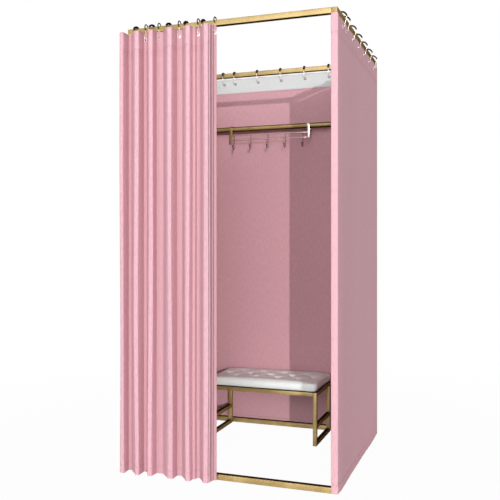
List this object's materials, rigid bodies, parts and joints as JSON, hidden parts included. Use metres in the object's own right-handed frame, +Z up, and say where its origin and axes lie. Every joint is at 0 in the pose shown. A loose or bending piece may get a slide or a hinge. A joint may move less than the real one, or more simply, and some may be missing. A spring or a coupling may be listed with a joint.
{
  "type": "portable fitting room",
  "caption": "Free-standing square tube cabin with hung cloth walls, a draw curtain door, a clothes rail with sliding hooks and a padded bench.",
  "frame": {"origin": "on the floor under the middle of the overall box", "axes": "+Z up, doorway towards -Y, +X to the right of a person facing the doorway"},
  "size_m": [0.9946, 1.0394, 2.0116],
  "materials": {
    "gold_steel": "satin gold coating",
    "hook_wire": "gilt wire",
    "rack_steel": "pale gold wire",
    "pink_cloth": "plain linen weave",
    "header_tape": "white stiffened tape",
    "seat_board": "dark stained",
    "cushion_cover": "pale grey tufted"
  },
  "bodies": {
    "frame": {"post_front_left": "gold_steel", "post_front_right": "gold_steel", "post_rear_left": "gold_steel", "post_rear_right": "gold_steel", "top_bar_front": "gold_steel", "top_bar_rear": "gold_steel", "top_bar_left": "gold_steel", "top_bar_right": "gold_steel", "bottom_bar_front": "gold_steel", "bottom_bar_rear": "gold_steel", "bottom_bar_left": "gold_steel", "bottom_bar_right": "gold_steel", "clothes_rail": "gold_steel", "rail_bracket_left": "gold_steel", "rail_bracket_right": "gold_steel", "curtain_front": "pink_cloth", "curtain_left": "pink_cloth", "curtain_right": "pink_cloth", "curtain_rear": "pink_cloth", "header_tape_left": "header_tape", "header_tape_right": "header_tape", "header_tape_rear": "header_tape", "hook_left_1": "hook_wire", "hook_left_2": "hook_wire", "hook_left_3": "hook_wire", "hook_left_4": "hook_wire", "hook_left_5": "hook_wire", "hook_left_6": "hook_wire", "hook_left_7": "hook_wire", "hook_right_1": "hook_wire", "hook_right_2": "hook_wire", "hook_right_3": "hook_wire", "hook_right_4": "hook_wire", "hook_right_5": "hook_wire", "hook_right_6": "hook_wire", "hook_right_7": "hook_wire", "hook_rear_1": "hook_wire", "hook_rear_2": "hook_wire", "hook_rear_3": "hook_wire", "hook_rear_4": "hook_wire", "hook_rear_5": "hook_wire", "hook_rear_6": "hook_wire", "hook_rear_7": "hook_wire", "hook_front_01": "hook_wire"},
    "hook_02": {"hook_front_02": "hook_wire"},
    "hook_03": {"hook_front_03": "hook_wire"},
    "hook_04": {"hook_front_04": "hook_wire"},
    "hook_05": {"hook_front_05": "hook_wire"},
    "hook_06": {"hook_front_06": "hook_wire"},
    "hook_07": {"hook_front_07": "hook_wire"},
    "hook_08": {"hook_front_08": "hook_wire"},
    "hook_09": {"hook_front_09": "hook_wire"},
    "lead_hook": {"hook_front_10": "hook_wire"},
    "rack": {"hook_rack": "rack_steel"},
    "bench": {"bench_frame": "gold_steel", "bench_board": "seat_board", "bench_cushion": "cushion_cover"}
  },
  "joints": [
    {"name": "curtain_draw", "type": "slide", "parent": "frame", "child": "lead_hook", "axis": [1, 0, 0], "range_m": [0, 0.5], "deforming": ["curtain_front"]},
    {"name": "hook_02_slide", "type": "slide", "parent": "frame", "child": "hook_02", "axis": [1, 0, 0], "range_m": [0, 0.0485]},
    {"name": "hook_03_slide", "type": "slide", "parent": "frame", "child": "hook_03", "axis": [1, 0, 0], "range_m": [0, 0.0709]},
    {"name": "hook_04_slide", "type": "slide", "parent": "frame", "child": "hook_04", "axis": [1, 0, 0], "range_m": [0, 0.1719]},
    {"name": "hook_05_slide", "type": "slide", "parent": "frame", "child": "hook_05", "axis": [1, 0, 0], "range_m": [0, 0.2044]},
    {"name": "hook_06_slide", "type": "slide", "parent": "frame", "child": "hook_06", "axis": [1, 0, 0], "range_m": [0, 0.3213]},
    {"name": "hook_07_slide", "type": "slide", "parent": "frame", "child": "hook_07", "axis": [1, 0, 0], "range_m": [0, 0.3528]},
    {"name": "hook_08_slide", "type": "slide", "parent": "frame", "child": "hook_08", "axis": [1, 0, 0], "range_m": [0, 0.4471]},
    {"name": "hook_09_slide", "type": "slide", "parent": "frame", "child": "hook_09", "axis": [1, 0, 0], "range_m": [0, 0.4667]},
    {"name": "rack_slide", "type": "slide", "parent": "frame", "child": "rack", "axis": [1, 0, 0], "range_m": [-0.11, 0.32]},
    {"name": "bench_shift", "type": "slide", "parent": "frame", "child": "bench", "axis": [0, 1, 0], "range_m": [-0.55, 0]}
  ],
  "couplings": [
    {"joint": "hook_02_slide", "follows": "curtain_draw", "ratio": 0.0969},
    {"joint": "hook_03_slide", "follows": "curtain_draw", "ratio": 0.1418},
    {"joint": "hook_04_slide", "follows": "curtain_draw", "ratio": 0.3439},
    {"joint": "hook_05_slide", "follows": "curtain_draw", "ratio": 0.4087},
    {"joint": "hook_06_slide", "follows": "curtain_draw", "ratio": 0.6426},
    {"joint": "hook_07_slide", "follows": "curtain_draw", "ratio": 0.7055},
    {"joint": "hook_08_slide", "follows": "curtain_draw", "ratio": 0.8942},
    {"joint": "hook_09_slide", "follows": "curtain_draw", "ratio": 0.9335}
  ]
}
